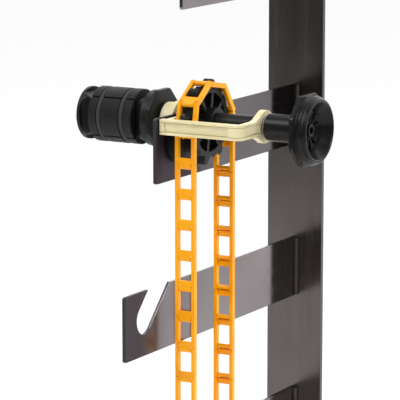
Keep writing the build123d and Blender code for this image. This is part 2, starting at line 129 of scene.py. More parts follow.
def gunmetal(name, grain, low, high, rough_low, rough_high, tip=None):
    """Dark blued steel; grain draws out its mill marks, and tip is the y it is darkest up to."""
    material, nodes, links, surface = shader(name)
    cloud = noise_field(nodes, links, 9, 5)
    mill = noise_field(nodes, links, 90, 6, grain)
    speck = noise_field(nodes, links, 900, 2)
    colour = ramp(nodes, links, cloud, low, high)
    rough = span(nodes, links, mill, rough_low, rough_high)
    if tip is not None:
        coords = nodes.new("ShaderNodeTexCoord")
        split = nodes.new("ShaderNodeSeparateXYZ")
        fade = nodes.new("ShaderNodeMapRange")
        fade.interpolation_type = "SMOOTHSTEP"
        fade.inputs["From Min"].default_value = tip
        fade.inputs["From Max"].default_value = tip + TIP_FADE
        blend = nodes.new("ShaderNodeMix")
        blend.data_type = "RGBA"
        blend.inputs["A"].default_value = (*TIP_DARK_COLOUR, 1)
        links.new(coords.outputs["Object"], split.inputs["Vector"])
        links.new(split.outputs["Y"], fade.inputs["Value"])
        links.new(fade.outputs["Result"], blend.inputs["Factor"])
        links.new(colour, blend.inputs["B"])
        colour = blend.outputs["Result"]
        matt = nodes.new("ShaderNodeMix")
        matt.inputs["A"].default_value = TIP_ROUGHNESS
        links.new(fade.outputs["Result"], matt.inputs["Factor"])
        links.new(rough, matt.inputs["B"])
        rough = matt.outputs["Result"]
    links.new(colour, surface.inputs["Base Color"])
    links.new(rough, surface.inputs["Roughness"])
    rolled = bump(nodes, links, mill, 0.00002, 0.3)
    links.new(bump(nodes, links, speck, 0.000006, 0.3, rolled), surface.inputs["Normal"])
    surface.inputs["Metallic"].default_value = 1.0
    return material


def piece(name, bm, material, body, slot, *nodes):
    """Finish a bmesh as a shaded piece that rides a body and stands for CAD nodes."""
    mesh = bpy.data.meshes.new(name)
    bm.to_mesh(mesh)
    bm.free()
    mesh.materials.append(material)
    mesh.shade_smooth()
    mesh.set_sharp_from_angle(angle=radians(38))
    thing = bpy.data.objects.new(name, mesh)
    bpy.context.scene.collection.objects.link(thing)
    thing.modifiers.new("flat faces", "WEIGHTED_NORMAL").keep_sharp = True
    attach(thing, body)
    if nodes:
        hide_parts(*nodes)
    return thing


def ease(bm, width, segments=2, angle=50):
    """Round every edge that turns by more than angle."""
    sharp = [e for e in bm.edges if e.is_manifold and e.calc_face_angle(0) > radians(angle)]
    bmesh.ops.bevel(
        bm, geom=sharp, offset=width, offset_type="OFFSET", segments=segments, profile=0.5,
        affect="EDGES", material=-1, clamp_overlap=True,
    )


def arc(centre, radius, start, end, steps):
    """Points on an arc in a plane, angles in degrees."""
    angles = [radians(start + (end - start) * k / steps) for k in range(steps + 1)]
    return [(centre[0] + radius * cos(a), centre[1] + radius * sin(a)) for a in angles]


def rounded_box(low, high, radius, steps=6):
    """Outline of a rectangle with round corners."""
    points = arc((high[0] - radius, high[1] - radius), radius, 0, 90, steps)
    points += arc((low[0] + radius, high[1] - radius), radius, 90, 180, steps)
    points += arc((low[0] + radius, low[1] + radius), radius, 180, 270, steps)
    return points + arc((high[0] - radius, low[1] + radius), radius, 270, 360, steps)


def ring_of_edges(bm, points):
    """Closed loop of edges through 3-D points."""
    verts = [bm.verts.new(p) for p in points]
    return [bm.edges.new((a, b)) for a, b in zip(verts, verts[1:] + verts[:1])]


def plate(loops, thickness_vector):
    """Flat plate: the first loop is its outline and the others are holes in it."""
    bm = bmesh.new()
    edges = [e for loop in loops for e in ring_of_edges(bm, loop)]
    if len(loops) == 1:
        bmesh.ops.contextual_create(bm, geom=edges)
    else:
        bmesh.ops.triangle_fill(bm, edges=edges, use_beauty=True, use_dissolve=False)
    grown = bmesh.ops.extrude_face_region(bm, geom=bm.faces[:], use_keep_orig=True)
    moved = [v for v in grown["geom"] if isinstance(v, bmesh.types.BMVert)]
    bmesh.ops.translate(bm, verts=moved, vec=thickness_vector)
    bmesh.ops.recalc_face_normals(bm, faces=bm.faces[:])
    return bm


upright_steel = gunmetal("upright gunmetal", (1, 1, 0.06), UPRIGHT_SHADED_LOW, UPRIGHT_SHADED_HIGH, 0.2, 0.32)
low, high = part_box("wall_upright")
outline = rounded_box((low.x, low.z), (high.x, high.z), UPRIGHT_CORNER_R)
screws = [m for m in frame["record"]["mounts"] if m["name"] == "wall_screws"][0]
spread_x = screws["dims"]["spacing_x_mm"] / 2000
spread_z = screws["dims"]["spacing_y_mm"] / 2000
loops = [[(x, low.y, z) for x, z in outline]]
for sx in (-1, 1):
    for sz in (-1, 1):
        hole = arc((sx * spread_x, sz * spread_z), SCREW_HOLE_R, 0, 360, 32)[:-1]
        loops.append([(x, low.y, z) for x, z in hole])
bm = plate(loops, (0, high.y - low.y, 0))
ease(bm, BAR_EDGE)
piece("upright_bar", bm, upright_steel, "bracket", "bracket_paint", "wall_upright")

# ---------------------------------------------------------------- hook arms
# Four lengths of the same flat bar set on edge, each sawn with a slanted
# round-ended slot near its tip, so that a crossbar drops in and can't roll out.

SLOT_W = 0.023
SLOT_SEAT = 0.0285
SLOT_DROP = 0.0218
TIP_R = 0.002
ARM_EDGE = BAR_EDGE * 0.8
ARM_LOW = (0.20, 0.175, 0.18)
ARM_HIGH = (0.29, 0.26, 0.265)
# The arms darken and go matt towards their tips, over a length that differs from arm to arm.
TIP_DARK_COLOUR = (0.06, 0.055, 0.07)
TIP_FADE = 0.05
TIP_ROUGHNESS = 0.5
TIP_DARK_REACH = {"top": -0.04, "drive": 0.05, "lower": 0.016, "bottom": 0.012}
# Each arm's colour is scaled by its own factor, the drive arm's to about half: painted shade on arms of one paint.
ARM_PAINTED_SHADE = {"top": 1, "drive": 0.52, "lower": 0.94, "bottom": 0.9}
diagonal = sqrt(0.5)


def hook_arm(node):
    """Arm outline in the plane of its plate, from root to tip and round the slot."""
    low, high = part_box(node)
    seat = (low.y + SLOT_SEAT, high.z - SLOT_DROP)
    wall = SLOT_DROP / diagonal
    mouth_near = seat[0] + SLOT_DROP - SLOT_W / 2 / diagonal
    mouth_far = seat[0] + SLOT_DROP + SLOT_W / 2 / diagonal
    points = [(high.y, high.z), (mouth_far, high.z)]
    points += arc(seat, SLOT_W / 2, 315, 135, 24)
    points += [(mouth_near, high.z)]
    points += arc((low.y + TIP_R, high.z - TIP_R), TIP_R, 90, 180, 5)
    points += arc((low.y + TIP_R, low.z + TIP_R), TIP_R, 180, 270, 5)
    points += [(high.y, low.z)]
    bm = plate([[(low.x, y, z) for y, z in points]], (high.x - low.x, 0, 0))
    ease(bm, ARM_EDGE)
    return bm


for place, dark_reach in TIP_DARK_REACH.items():
    node = f"hook_arm_{place}"
    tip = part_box(node)[0].y + dark_reach
    # Painted shade: this arm's colours are scaled by its own factor.
    dark = tuple(c * ARM_PAINTED_SHADE[place] for c in ARM_LOW)
    light = tuple(c * ARM_PAINTED_SHADE[place] for c in ARM_HIGH)
    steel = gunmetal(f"{place} arm gunmetal", (1, 0.06, 1), dark, light, 0.08, 0.14, tip)
    piece(f"arm_{place}", hook_arm(node), steel, "bracket", "bracket_paint", node)

# ---------------------------------------------------------------- welds
# A fillet weld runs down both sides of each arm where it stands on the upright.
# Each is a row of overlapping scales, painted over with the same dark coat.

WELD_R = 0.0029
WELD_SCALES = 22
SCALE_GIRTHS = (1.0, 0.99, 0.97, 0.94)
WELD_LOW = (0.05, 0.045, 0.043)
WELD_HIGH = (0.07, 0.062, 0.06)
weld_steel = gunmetal("weld gunmetal", (1, 1, 1), WELD_LOW, WELD_HIGH, 0.35, 0.5)


def weld_bead(bm, root, bottom, top):
    """One run of weld: a round bar whose girth swells and drops once for each scale."""
    step = (top - bottom) / WELD_SCALES / len(SCALE_GIRTHS)
    made = bmesh.ops.create_circle(bm, cap_ends=True, segments=14, radius=WELD_R)
    ring = made["verts"]
    bmesh.ops.translate(bm, verts=ring, vec=(*root, bottom))
    faces = list({f for v in ring for f in v.link_faces})
    size = 1.0
    for k in range(WELD_SCALES * len(SCALE_GIRTHS)):
        grown = bmesh.ops.extrude_face_region(bm, geom=faces)
        ring = [v for v in grown["geom"] if isinstance(v, bmesh.types.BMVert)]
        stale = [f for f in faces if f.is_valid]
        if k:
            bmesh.ops.delete(bm, geom=stale, context="FACES_ONLY")
        faces = [f for f in grown["geom"] if isinstance(f, bmesh.types.BMFace)]
        fresh = SCALE_GIRTHS[k % len(SCALE_GIRTHS)]
        centre = Vector((*root, bottom + step * k))
        bmesh.ops.scale(bm, verts=ring, vec=(fresh / size,) * 3, space=Matrix.Translation(-centre))
        bmesh.ops.translate(bm, verts=ring, vec=(0, 0, step))
        size = fresh


bm = bmesh.new()
bead_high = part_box("arm_welds")[1]
inset = bead_high.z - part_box("hook_arm_top")[1].z
for place in TIP_DARK_REACH:
    arm_low, arm_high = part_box(f"hook_arm_{place}")
    for side in (arm_low.x, arm_high.x):
        weld_bead(bm, (side, bead_high.y), arm_low.z - inset, arm_high.z + inset)
bmesh.ops.recalc_face_normals(bm, faces=bm.faces[:])
piece("weld_beads", bm, weld_steel, "bracket", "bracket_paint", "arm_welds")

# ---------------------------------------------------------------- nylon shoe
# Natural cream nylon, moulded in one: a tongue that fills the slot, a flange and
# a round boss on the roll's side. A black keeper closes it on the arm's other side.

spin_joint = [j for j in frame["joints"] if j["name"] == "drive_spin"][0]
axis = Vector((0, spin_joint["pos_m"][1], spin_joint["pos_m"][2]))
NYLON_EDGE = 0.0006
NYLON_LOW = (0.72, 0.64, 0.37)
NYLON_HIGH = (0.86, 0.79, 0.52)
# Width and colour of the thin dark lines along the yoke channel's corners: painted shade.
SHADE_LINE_W = 0.0004
PAINTED_SHADE_LINE = (0.55, 0.47, 0.25)


def cream_nylon(name, shade_lines_at=None):
    """Undyed nylon, faintly mottled; an optional (z, half height) pair paints thin dark lines into the channel's
    corners as painted shade.
    """
    material, nodes, links, surface = shader(name)
    cloud = noise_field(nodes, links, 60, 4)
    skin = noise_field(nodes, links, 700, 3)
    colour = ramp(nodes, links, cloud, NYLON_LOW, NYLON_HIGH)
    # Painted shade: a thin band at the given height either side of z is darkened.
    if shade_lines_at is not None:
        coords = nodes.new("ShaderNodeTexCoord")
        split = nodes.new("ShaderNodeSeparateXYZ")
        height = nodes.new("ShaderNodeMath")
        height.operation = "SUBTRACT"
        height.inputs[1].default_value = shade_lines_at[0]
        size = nodes.new("ShaderNodeMath")
        size.operation = "ABSOLUTE"
        near = nodes.new("ShaderNodeMath")
        near.operation = "COMPARE"
        near.inputs[1].default_value = shade_lines_at[1]
        near.inputs[2].default_value = SHADE_LINE_W
        shade_line = nodes.new("ShaderNodeMix")
        shade_line.data_type = "RGBA"
        shade_line.inputs["B"].default_value = (*PAINTED_SHADE_LINE, 1)
        links.new(coords.outputs["Object"], split.inputs["Vector"])
        links.new(split.outputs["Z"], height.inputs[0])
        links.new(height.outputs["Value"], size.inputs[0])
        links.new(size.outputs["Value"], near.inputs[0])
        links.new(near.outputs["Value"], shade_line.inputs["Factor"])
        links.new(colour, shade_line.inputs["A"])
        colour = shade_line.outputs["Result"]
    links.new(colour, surface.inputs["Base Color"])
    links.new(span(nodes, links, skin, 0.34, 0.48), surface.inputs["Roughness"])
    links.new(bump(nodes, links, skin, 0.00005, 0.4), surface.inputs["Normal"])
    surface.inputs["Subsurface Weight"].default_value = 0.25
    surface.inputs["Subsurface Radius"].default_value = (0.004, 0.003, 0.0015)
    surface.inputs["Subsurface Scale"].default_value = 0.6
    return material


def eased_copy(node, width, segments=2, angle=40):
    """Copy of a CAD node with its doubles merged and its sharp edges rounded."""
    bm = bmesh.new()
    bm.from_mesh(frame["nodes"][node].data)
    bmesh.ops.remove_doubles(bm, verts=bm.verts[:], dist=2e-6)
    bmesh.ops.dissolve_limit(bm, angle_limit=radians(0.5), verts=bm.verts[:], edges=bm.edges[:])
    ease(bm, width, segments, angle)
    return bm


nylon = cream_nylon("cream nylon")
piece("shoe", eased_copy("hook_shoe", NYLON_EDGE), nylon, "yoke", "cream_nylon", "hook_shoe")


def black_plastic(name, base, rough_low, rough_high, grain, relief):
    """Black moulded plastic with a fine spark-eroded skin, its relief in metres."""
    material, nodes, links, surface = shader(name)
    cloud = noise_field(nodes, links, 30, 3)
    skin = noise_field(nodes, links, grain, 3)
    dark = tuple(c * 0.8 for c in base)
    light = tuple(c * 1.3 for c in base)
    links.new(ramp(nodes, links, cloud, dark, light), surface.inputs["Base Color"])
    links.new(span(nodes, links, skin, rough_low, rough_high), surface.inputs["Roughness"])
    links.new(bump(nodes, links, skin, relief, 0.4), surface.inputs["Normal"])
    surface.inputs["Specular IOR Level"].default_value = 0.17
    return material


acetal = black_plastic("black acetal", (0.010, 0.010, 0.011), 0.32, 0.46, 900, 0.00002)
piece("keeper", eased_copy("shoe_keeper", NYLON_EDGE), acetal, "yoke", "black_acetal", "shoe_keeper")

# ---------------------------------------------------------------- nylon yoke
# The bar in front of the chain, with the plate on the shoe at one end and the
# eye for the outer bush at the other. Its outer face is hollowed to a channel.

CHANNEL_HALF = 0.0040
LIP_EDGE = 0.0004
# The channel's corner lines are darkened in the colour: painted shade.
yoke_nylon = cream_nylon("yoke nylon", (axis.z, CHANNEL_HALF - SHADE_LINE_W))
piece("yoke", eased_copy("yoke_frame", LIP_EDGE), yoke_nylon, "yoke", "cream_nylon", "yoke_frame")

# ---------------------------------------------------------------- chain
# Orange plastic ladder chain. Each link is two rails joined at one end by a
# round pin, and at the other by a flat bar whose hook snaps over the next pin.

PITCH = 0.0235
LINK_W = 0.017
LINK_T = 0.004
RAIL_W = 0.003
PIN_R = 0.0011
HOOK_R = 0.0021
HOOK_INNER_R = 0.0013
HOOK_W = 0.0104
HOOK_LAP = 0.0008
BAR_TOP = 0.0066
BAR_T = 0.0018
RAIL_START = 0.00203
RAIL_END = 0.00195
RAIL_CORNER = 0.0005
LINK_EDGE = 0.00035
LAP = 0.0002
SKIN_STEP = 0.0001
ORANGE_LOW = (0.98, 0.35, 0.0)
ORANGE_HIGH = (1.0, 0.44, 0.0)


def orange_plastic(name):
    """Dyed through, glossy off the mould, its tone faintly clouded."""
    material, nodes, links, surface = shader(name)
    cloud = noise_field(nodes, links, 45, 4)
    skin = noise_field(nodes, links, 800, 3)
    links.new(ramp(nodes, links, cloud, ORANGE_LOW, ORANGE_HIGH), surface.inputs["Base Color"])
    links.new(span(nodes, links, skin, 0.3, 0.42), surface.inputs["Roughness"])
    surface.inputs["Specular IOR Level"].default_value = 0.3
    links.new(bump(nodes, links, skin, 0.00004, 0.35), surface.inputs["Normal"])
    surface.inputs["Subsurface Weight"].default_value = 0.15
    surface.inputs["Subsurface Radius"].default_value = (0.003, 0.0008, 0.0001)
    surface.inputs["Subsurface Scale"].default_value = 0.5
    return material


def prism(bm, outline, x_start, x_end):
    """Solid of one (y, z) outline between two places along x."""
    edges = ring_of_edges(bm, [(x_start, y, z) for y, z in outline])
    face = bmesh.ops.contextual_create(bm, geom=edges)
    grown = bmesh.ops.extrude_face_region(bm, geom=face["faces"], use_keep_orig=True)
    moved = [v for v in grown["geom"] if isinstance(v, bmesh.types.BMVert)]
    bmesh.ops.translate(bm, verts=moved, vec=(x_end - x_start, 0, 0))


def chain_link():
    """One link, its hook's hinge at y = -PITCH/2 and its pin at y = PITCH/2, outside up."""
    bm = bmesh.new()
    half_t = LINK_T / 2
    y_low = -PITCH / 2 + RAIL_START
    y_high = PITCH / 2 + RAIL_END
    rail = [(y_low, -half_t), (PITCH / 2, -half_t)]
    rail += [(y_high - RAIL_CORNER, -half_t), (y_high, RAIL_CORNER - half_t)]
    rail += [(y_high, half_t - RAIL_CORNER), (y_high - RAIL_CORNER, half_t)]
    rail += [(PITCH / 2, half_t), (y_low, half_t)]
    for side in (-1, 1):
        prism(bm, rail, side * LINK_W / 2, side * (LINK_W / 2 - RAIL_W))
    clear = LINK_W / 2 - RAIL_W + LAP
    bar_face = half_t - SKIN_STEP
    bar_end = -PITCH / 2 + BAR_TOP
    bar = [(y_low, bar_face - BAR_T), (bar_end, bar_face - BAR_T), (bar_end, bar_face), (y_low, bar_face)]
    prism(bm, bar, -clear, clear)
    hinge = (-PITCH / 2, 0)
    hook = arc(hinge, HOOK_R, 90, 290, 16) + arc(hinge, HOOK_INNER_R, 290, 90, 12)
    hook += [(y_low + HOOK_LAP, HOOK_INNER_R), (y_low + HOOK_LAP, HOOK_R - SKIN_STEP)]
    prism(bm, hook, -HOOK_W / 2, HOOK_W / 2)
    bmesh.ops.recalc_face_normals(bm, faces=bm.faces[:])
    ease(bm, LINK_EDGE, 2, 45)
    bmesh.ops.create_cone(
        bm, cap_ends=True, segments=16, radius1=PIN_R, radius2=PIN_R, depth=2 * clear,
        matrix=Matrix.Translation((0, PITCH / 2, 0)) @ Matrix.Rotation(pi / 2, 4, "Y"),
    )
    mesh = bpy.data.meshes.new("link")
    bm.to_mesh(mesh)
    bm.free()
    return mesh


link_mesh = chain_link()
orange = orange_plastic("orange plastic")
chain_low, chain_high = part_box("chain_top_wrap")
chain_x = (chain_low.x + chain_high.x) / 2
WRAP_START = 10
WRAP_TURN = 45


def chain_run(start, headings):
    """Row of links from a hinge point; heading 0 is up, 90 towards the wall."""
    bm = bmesh.new()
    y, z = start
    for heading in headings:
        a = radians(heading)
        along = Vector((0, sin(a), cos(a)))
        across = Vector((1, 0, 0))
        out = across.cross(along)
        middle = Vector((chain_x, y, z)) + along * PITCH / 2
        place = Matrix((across, along, out)).transposed().to_4x4()
        place.translation = middle
        before = len(bm.verts)
        bm.from_mesh(link_mesh)
        bm.verts.ensure_lookup_table()
        bmesh.ops.transform(bm, matrix=place, verts=bm.verts[before:])
        y += PITCH * along.y
        z += PITCH * along.z
    return bm, (y, z)


wrap = [WRAP_START + WRAP_TURN * k for k in range(4)]
reach = PITCH * sum(sin(radians(h)) for h in wrap)
climb = PITCH * sum(cos(radians(h)) for h in wrap)
rear_low, rear_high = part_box("chain_rear_strand")
strand = round((rear_high.z - rear_low.z) / PITCH)
hinge_point = (axis.y - reach / 2, axis.z - climb / 2)
for node, headings in (
    ("chain_top_wrap", wrap),
    ("chain_rear_strand", [180] * strand),
    ("chain_bottom_bend", [h + 180 for h in wrap]),
    ("chain_front_strand", [0] * strand),
):
    bm, hinge_point = chain_run(hinge_point, headings)
    piece(node + "_links", bm, orange, "yoke", "orange_chain", node)

# ---------------------------------------------------------------- sprocket
# Black moulded wheel with eight teeth that stand up through the chain's
# windows, ribbed between rim and hub, and held on the tube by a set screw.


def folded(theta, sides, turn):
    """How far a regular polygon stands out at theta, as a multiple of its flat's distance."""
    half = pi / sides
    return 1 / cos((theta - turn) % (2 * half) - half)


def ringed(rings, steps=96, closed=True):
    """Body on the drive axis from rings (x, radius, sides, corner turn, radius cap).

    A ring with no sides is round; otherwise its radius is to the flats. A closed body
    joins its last ring to its first, and an open one ends on the axis at both ends.
    """
    bm = bmesh.new()
    rows = []
    for x, radius, sides, turn, cap in rings:
        row = []
        for k in range(steps):
            theta = tau * k / steps
            r = min(radius * folded(theta, sides, radians(turn)), cap) if sides else radius
            row.append(bm.verts.new((x, r * cos(theta), r * sin(theta))))
        rows.append(row)
    pairs = list(zip(rows, rows[1:]))
    if closed:
        pairs.append((rows[-1], rows[0]))
    for row, following in pairs:
        for k in range(steps):
            n = (k + 1) % steps
            bm.faces.new((row[k], row[n], following[n], following[k]))
    bmesh.ops.remove_doubles(bm, verts=bm.verts[:], dist=1e-6)
    bmesh.ops.recalc_face_normals(bm, faces=bm.faces[:])
    bmesh.ops.translate(bm, verts=bm.verts[:], vec=axis)
    return bm


def round_rings(*profile):
    """Round rings from (x, radius) pairs in millimetres."""
    return [(x / 1000, r / 1000, 0, 0, 0) for x, r in profile]


TEETH = 8
TOOTH_ROOT_HALF = 0.0044
TOOTH_TIP_HALF = 0.0024
TOOTH_NARROWING = 0.3
RIM_W = 0.0035
WEB_T = 0.0041
RIB_W = 0.003
HUB_R = 0.0115
HUB_PAST_DISC = 0.0062
SEAT_CLEAR = 0.00036
RIB_LAP = 0.0005
RIB_SHORT = 0.0004
TUBE_R = 6.5
low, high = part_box("sprocket")
tip_r = max(high.z - low.z, high.y - low.y) / 2
link_flat_r = PITCH / 2 / tan(pi / TEETH)
flat_r = link_flat_r - LINK_T / 2 - SEAT_CLEAR
disc_end = high.x - HUB_PAST_DISC
disc_start = 2 * chain_x - disc_end
outline = []
for k in range(TEETH):
    a = radians(180 - WRAP_START - 360 / TEETH * k)
    out = Vector((cos(a), sin(a)))
    side = Vector((sin(a), -cos(a)))
    corner = flat_r / cos(pi / TEETH)
    before = a + pi / TEETH
    outline.append((corner * cos(before), corner * sin(before)))
    heights = (flat_r, tip_r - 0.0016, tip_r - 0.0003)
    halves = (TOOTH_ROOT_HALF, TOOTH_TIP_HALF + 0.0003, TOOTH_TIP_HALF * 0.6)
    left = [out * height - side * half for height, half in zip(heights, halves)]
    right = [out * height + side * half for height, half in zip(heights, halves)]
    outline += [(point.x, point.y) for point in left + right[::-1]]
pocket = arc((0, 0), flat_r - RIM_W, 0, 360, 64)[:-1]
loops = [[(disc_start, y, z) for y, z in loop] for loop in (outline, pocket)]
bm = plate(loops, (disc_end - disc_start, 0, 0))
for v in bm.verts:
    r = sqrt(v.co.y ** 2 + v.co.z ** 2)
    narrowing = TOOTH_NARROWING * max(0, r - flat_r - 0.002) / (tip_r - flat_r - 0.002)
    v.co.x = chain_x + (v.co.x - chain_x) * (1 - narrowing)
ease(bm, 0.0005, 2, 35)
for k in range(TEETH):
    a = radians(180 - WRAP_START - 360 / TEETH * k)
    rib = bmesh.ops.create_cube(bm, size=1.0)
    length = flat_r - RIM_W - HUB_R + 2 * RIB_LAP
    rib_end = disc_end - RIB_SHORT
    scale = Matrix.Diagonal((rib_end - disc_start - WEB_T, length, RIB_W, 1))
    slide = Matrix.Translation(((rib_end + disc_start + WEB_T) / 2, HUB_R + length / 2 - RIB_LAP, 0))
    bmesh.ops.transform(bm, matrix=Matrix.Rotation(a, 4, "X") @ slide @ scale, verts=rib["verts"])
bmesh.ops.translate(bm, verts=bm.verts[:], vec=axis)
web_start = disc_start * 1000 + 0.01
web_end = (disc_start + WEB_T) * 1000
web_r = (flat_r - RIM_W) * 1000 + 0.3
web = ringed(round_rings((web_start, 10), (web_start, web_r), (web_end, web_r), (web_end, 10)))
hub_low, hub_high, hub_out = low.x * 1000, high.x * 1000, HUB_R * 1000
hub = ringed(round_rings(
    (hub_low, TUBE_R), (hub_low, hub_out - 0.6),
    (hub_low + 0.2, hub_out - 0.18), (hub_low + 0.6, hub_out),
    (hub_high - 0.6, hub_out), (hub_high - 0.2, hub_out - 0.18),
    (hub_high, hub_out - 0.6), (hub_high, TUBE_R),
))
for part in (web, hub):
    joined = bpy.data.meshes.new("sprocket part")
    part.to_mesh(joined)
    part.free()
    bm.from_mesh(joined)
piece("sprocket_wheel", bm, acetal, "drive", "black_acetal", "sprocket")

# ---------------------------------------------------------------- drive tube
# Zinc-plated steel tube through shoe, sprocket and eye, with the black spacer
# sleeve, the washers and the retaining ring that keep everything in its place.

ZINC_LOW = (0.46, 0.47, 0.46)
ZINC_HIGH = (0.66, 0.66, 0.63)
TUBE_BORE_R = 4.5
ROD_R = 4.0
BORE_CLEAR = 0.3


def zinc_plate(name):
    """Bright zinc over turned steel, faintly clouded."""
    material, nodes, links, surface = shader(name)
    cloud = noise_field(nodes, links, 70, 4)
    turned_marks = noise_field(nodes, links, 600, 3, (6, 1, 1))
    links.new(ramp(nodes, links, cloud, ZINC_LOW, ZINC_HIGH), surface.inputs["Base Color"])
    links.new(span(nodes, links, turned_marks, 0.22, 0.38), surface.inputs["Roughness"])
    links.new(bump(nodes, links, turned_marks, 0.00004, 0.4), surface.inputs["Normal"])
    surface.inputs["Metallic"].default_value = 1.0
    return material


def collar(node, bore, edge=0.3):
    """Plain ring in a CAD ring's place, its outer corners cut back; bore and edge in mm."""
    low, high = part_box(node)
    start, end, outer = low.x * 1000, high.x * 1000, (high.z - low.z) * 500
    return ringed(round_rings(
        (start, bore), (start, outer - edge), (start + edge, outer),
        (end - edge, outer), (end, outer - edge), (end, bore),
    ))


zinc = zinc_plate("zinc plate")
for node, name, bore, material, slot in (
    ("drive_tube", "tube", TUBE_BORE_R, zinc, "zinc_steel"),
    ("spacer_sleeve", "spacer", TUBE_R, acetal, "black_acetal"),
    ("retaining_ring", "ring_on_tube", TUBE_R, zinc, "zinc_steel"),
    ("plug_washer", "washer_at_plug", TUBE_R, zinc, "zinc_steel"),
    ("knob_washer", "washer_in_knob", ROD_R + BORE_CLEAR, zinc, "zinc_steel"),
):
    piece(name, collar(node, bore), material, "drive", slot, node)

# ---------------------------------------------------------------- bushes
# Two black acetal bushes pressed into the nylon carry the turning tube. The
# inner one has a flange that takes the roll's end thrust.

BUSH_BORE_R = TUBE_R + 0.05
BUSH_FLANGE_T = 1.0
BUSH_FLANGE_W = 2.4
low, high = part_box("inner_bush")
start, end, flange_r = low.x * 1000, high.x * 1000, (high.z - low.z) * 500
shoulder, bush_r = start + BUSH_FLANGE_T, flange_r - BUSH_FLANGE_W
inner_bush = ringed(round_rings(
    (start, BUSH_BORE_R), (start, flange_r - 0.25), (start + 0.25, flange_r),
    (shoulder - 0.2, flange_r), (shoulder, flange_r - 0.2), (shoulder, bush_r),
    (end - 0.3, bush_r), (end, bush_r - 0.3), (end, BUSH_BORE_R),
))
outer_bush = collar("outer_bush", BUSH_BORE_R)
piece("inner_bush_sleeve", inner_bush, acetal, "yoke", "black_acetal", "inner_bush")
piece("outer_bush_sleeve", outer_bush, acetal, "yoke", "black_acetal", "outer_bush")

# ---------------------------------------------------------------- screws
# One cap screw holds yoke, keeper and shoe together, a shorter one keeper and
# shoe, and a set screw holds the sprocket on its tube. Zinc plated steel.


def socket_screw(length, radius, head, head_r, socket_r, socket_depth):
    """Screw along +x from its tip at 0, with a hexagon socket in its end; millimetres."""
    shank = length - head
    rings = round_rings(
        (0, 0), (0, radius * 0.7), (radius * 0.3, radius), (shank, radius), (shank, head_r),
        (length - 0.35, head_r), (length - 0.1, head_r - 0.1), (length, head_r - 0.35),
    )
    hexagon = (socket_r / 1000, 6, 0, 1)
    rings += [(length / 1000, *hexagon), ((length - socket_depth) / 1000, *hexagon)]
    rings += round_rings((length - socket_depth - 0.3, 0))
    bm = ringed(rings, 48, closed=False)
    bmesh.ops.translate(bm, verts=bm.verts[:], vec=-axis)
    return bm


SCREW_R = 1.5
SCREW_HEAD = 1.9
SCREW_HEAD_R = 2.6
SOCKET_R = 1.25
SOCKET_DEPTH = 1.2
low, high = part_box("shoe_screws")
head_r = SCREW_HEAD_R / 1000
bm = bmesh.new()
keeper_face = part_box("shoe_keeper")[1].x
for y, z, head_end in (
    (low.y + head_r, low.z + head_r, keeper_face),
    (high.y - head_r, high.z - head_r, high.x),
):
    length = (head_end - low.x) * 1000
    one = socket_screw(length, SCREW_R, SCREW_HEAD, SCREW_HEAD_R, SOCKET_R, SOCKET_DEPTH)
    bmesh.ops.translate(one, verts=one.verts[:], vec=(low.x, y, z))
    joined = bpy.data.meshes.new("screw")
    one.to_mesh(joined)
    one.free()
    bm.from_mesh(joined)
piece("yoke_screws", bm, zinc, "yoke", "zinc_steel", "shoe_screws")

SET_SCREW_TURN = 100
SET_SCREW_R = 2.0
SET_SCREW_SUNK = 0.2
low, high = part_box("sprocket_set_screw")
length = HUB_R * 1000 - TUBE_R - 2 * SET_SCREW_SUNK
bm = socket_screw(length, SET_SCREW_R, 0.4, SET_SCREW_R, 1.0, 1.6)
bmesh.ops.translate(bm, verts=bm.verts[:], vec=((TUBE_R + SET_SCREW_SUNK) / 1000, 0, 0))
a = radians(SET_SCREW_TURN)
stand = Matrix(((0, 0, 1), (cos(a), -sin(a), 0), (sin(a), cos(a), 0))).to_4x4()
stand.translation = ((low.x + high.x) / 2, axis.y, axis.z)
bmesh.ops.transform(bm, matrix=stand, verts=bm.verts[:])
piece("set_screw", bm, zinc, "drive", "zinc_steel", "sprocket_set_screw")

# ---------------------------------------------------------------- expanding plug
# Black moulded hub with a faceted flange and a wedge nose, and a matching wedge
# on the rod's end. Four jaws ride up both wedges as the knob draws the rod.

PLUG_FLANGE_FLAT = 22.63
PLUG_FLANGE_CAP = 24.2
PLUG_FLANGE_T = 5.0
SPIGOT_R = 21.5
SPIGOT_LEN = 6.0
WEDGE_HALF = 17.0
WEDGE_TIP = 6.61
WEDGE_LEN = 18.0
WEDGE_CORNER_R = 20.5
TUBE_SOCKET = 10.0
PLUG_BORE_R = ROD_R + BORE_CLEAR


def flat_ring(x, flat_r, sides, turn, cap):
    """Polygon ring in millimetres: distance to its flats, and how far its corners reach."""
    return (x / 1000, flat_r / 1000, sides, turn, cap / 1000)


def wedge_rings(base_x, length):
    """Square wedge from its base to its tip, its corners turned down."""
    rows = []
    for k in range(13):
        half = WEDGE_HALF + (WEDGE_TIP - WEDGE_HALF) * k / 12
        corner = min(WEDGE_CORNER_R, half * 1.38)
        rows.append(flat_ring(base_x + length * k / 12, half, 4, 45, corner))
    return rows


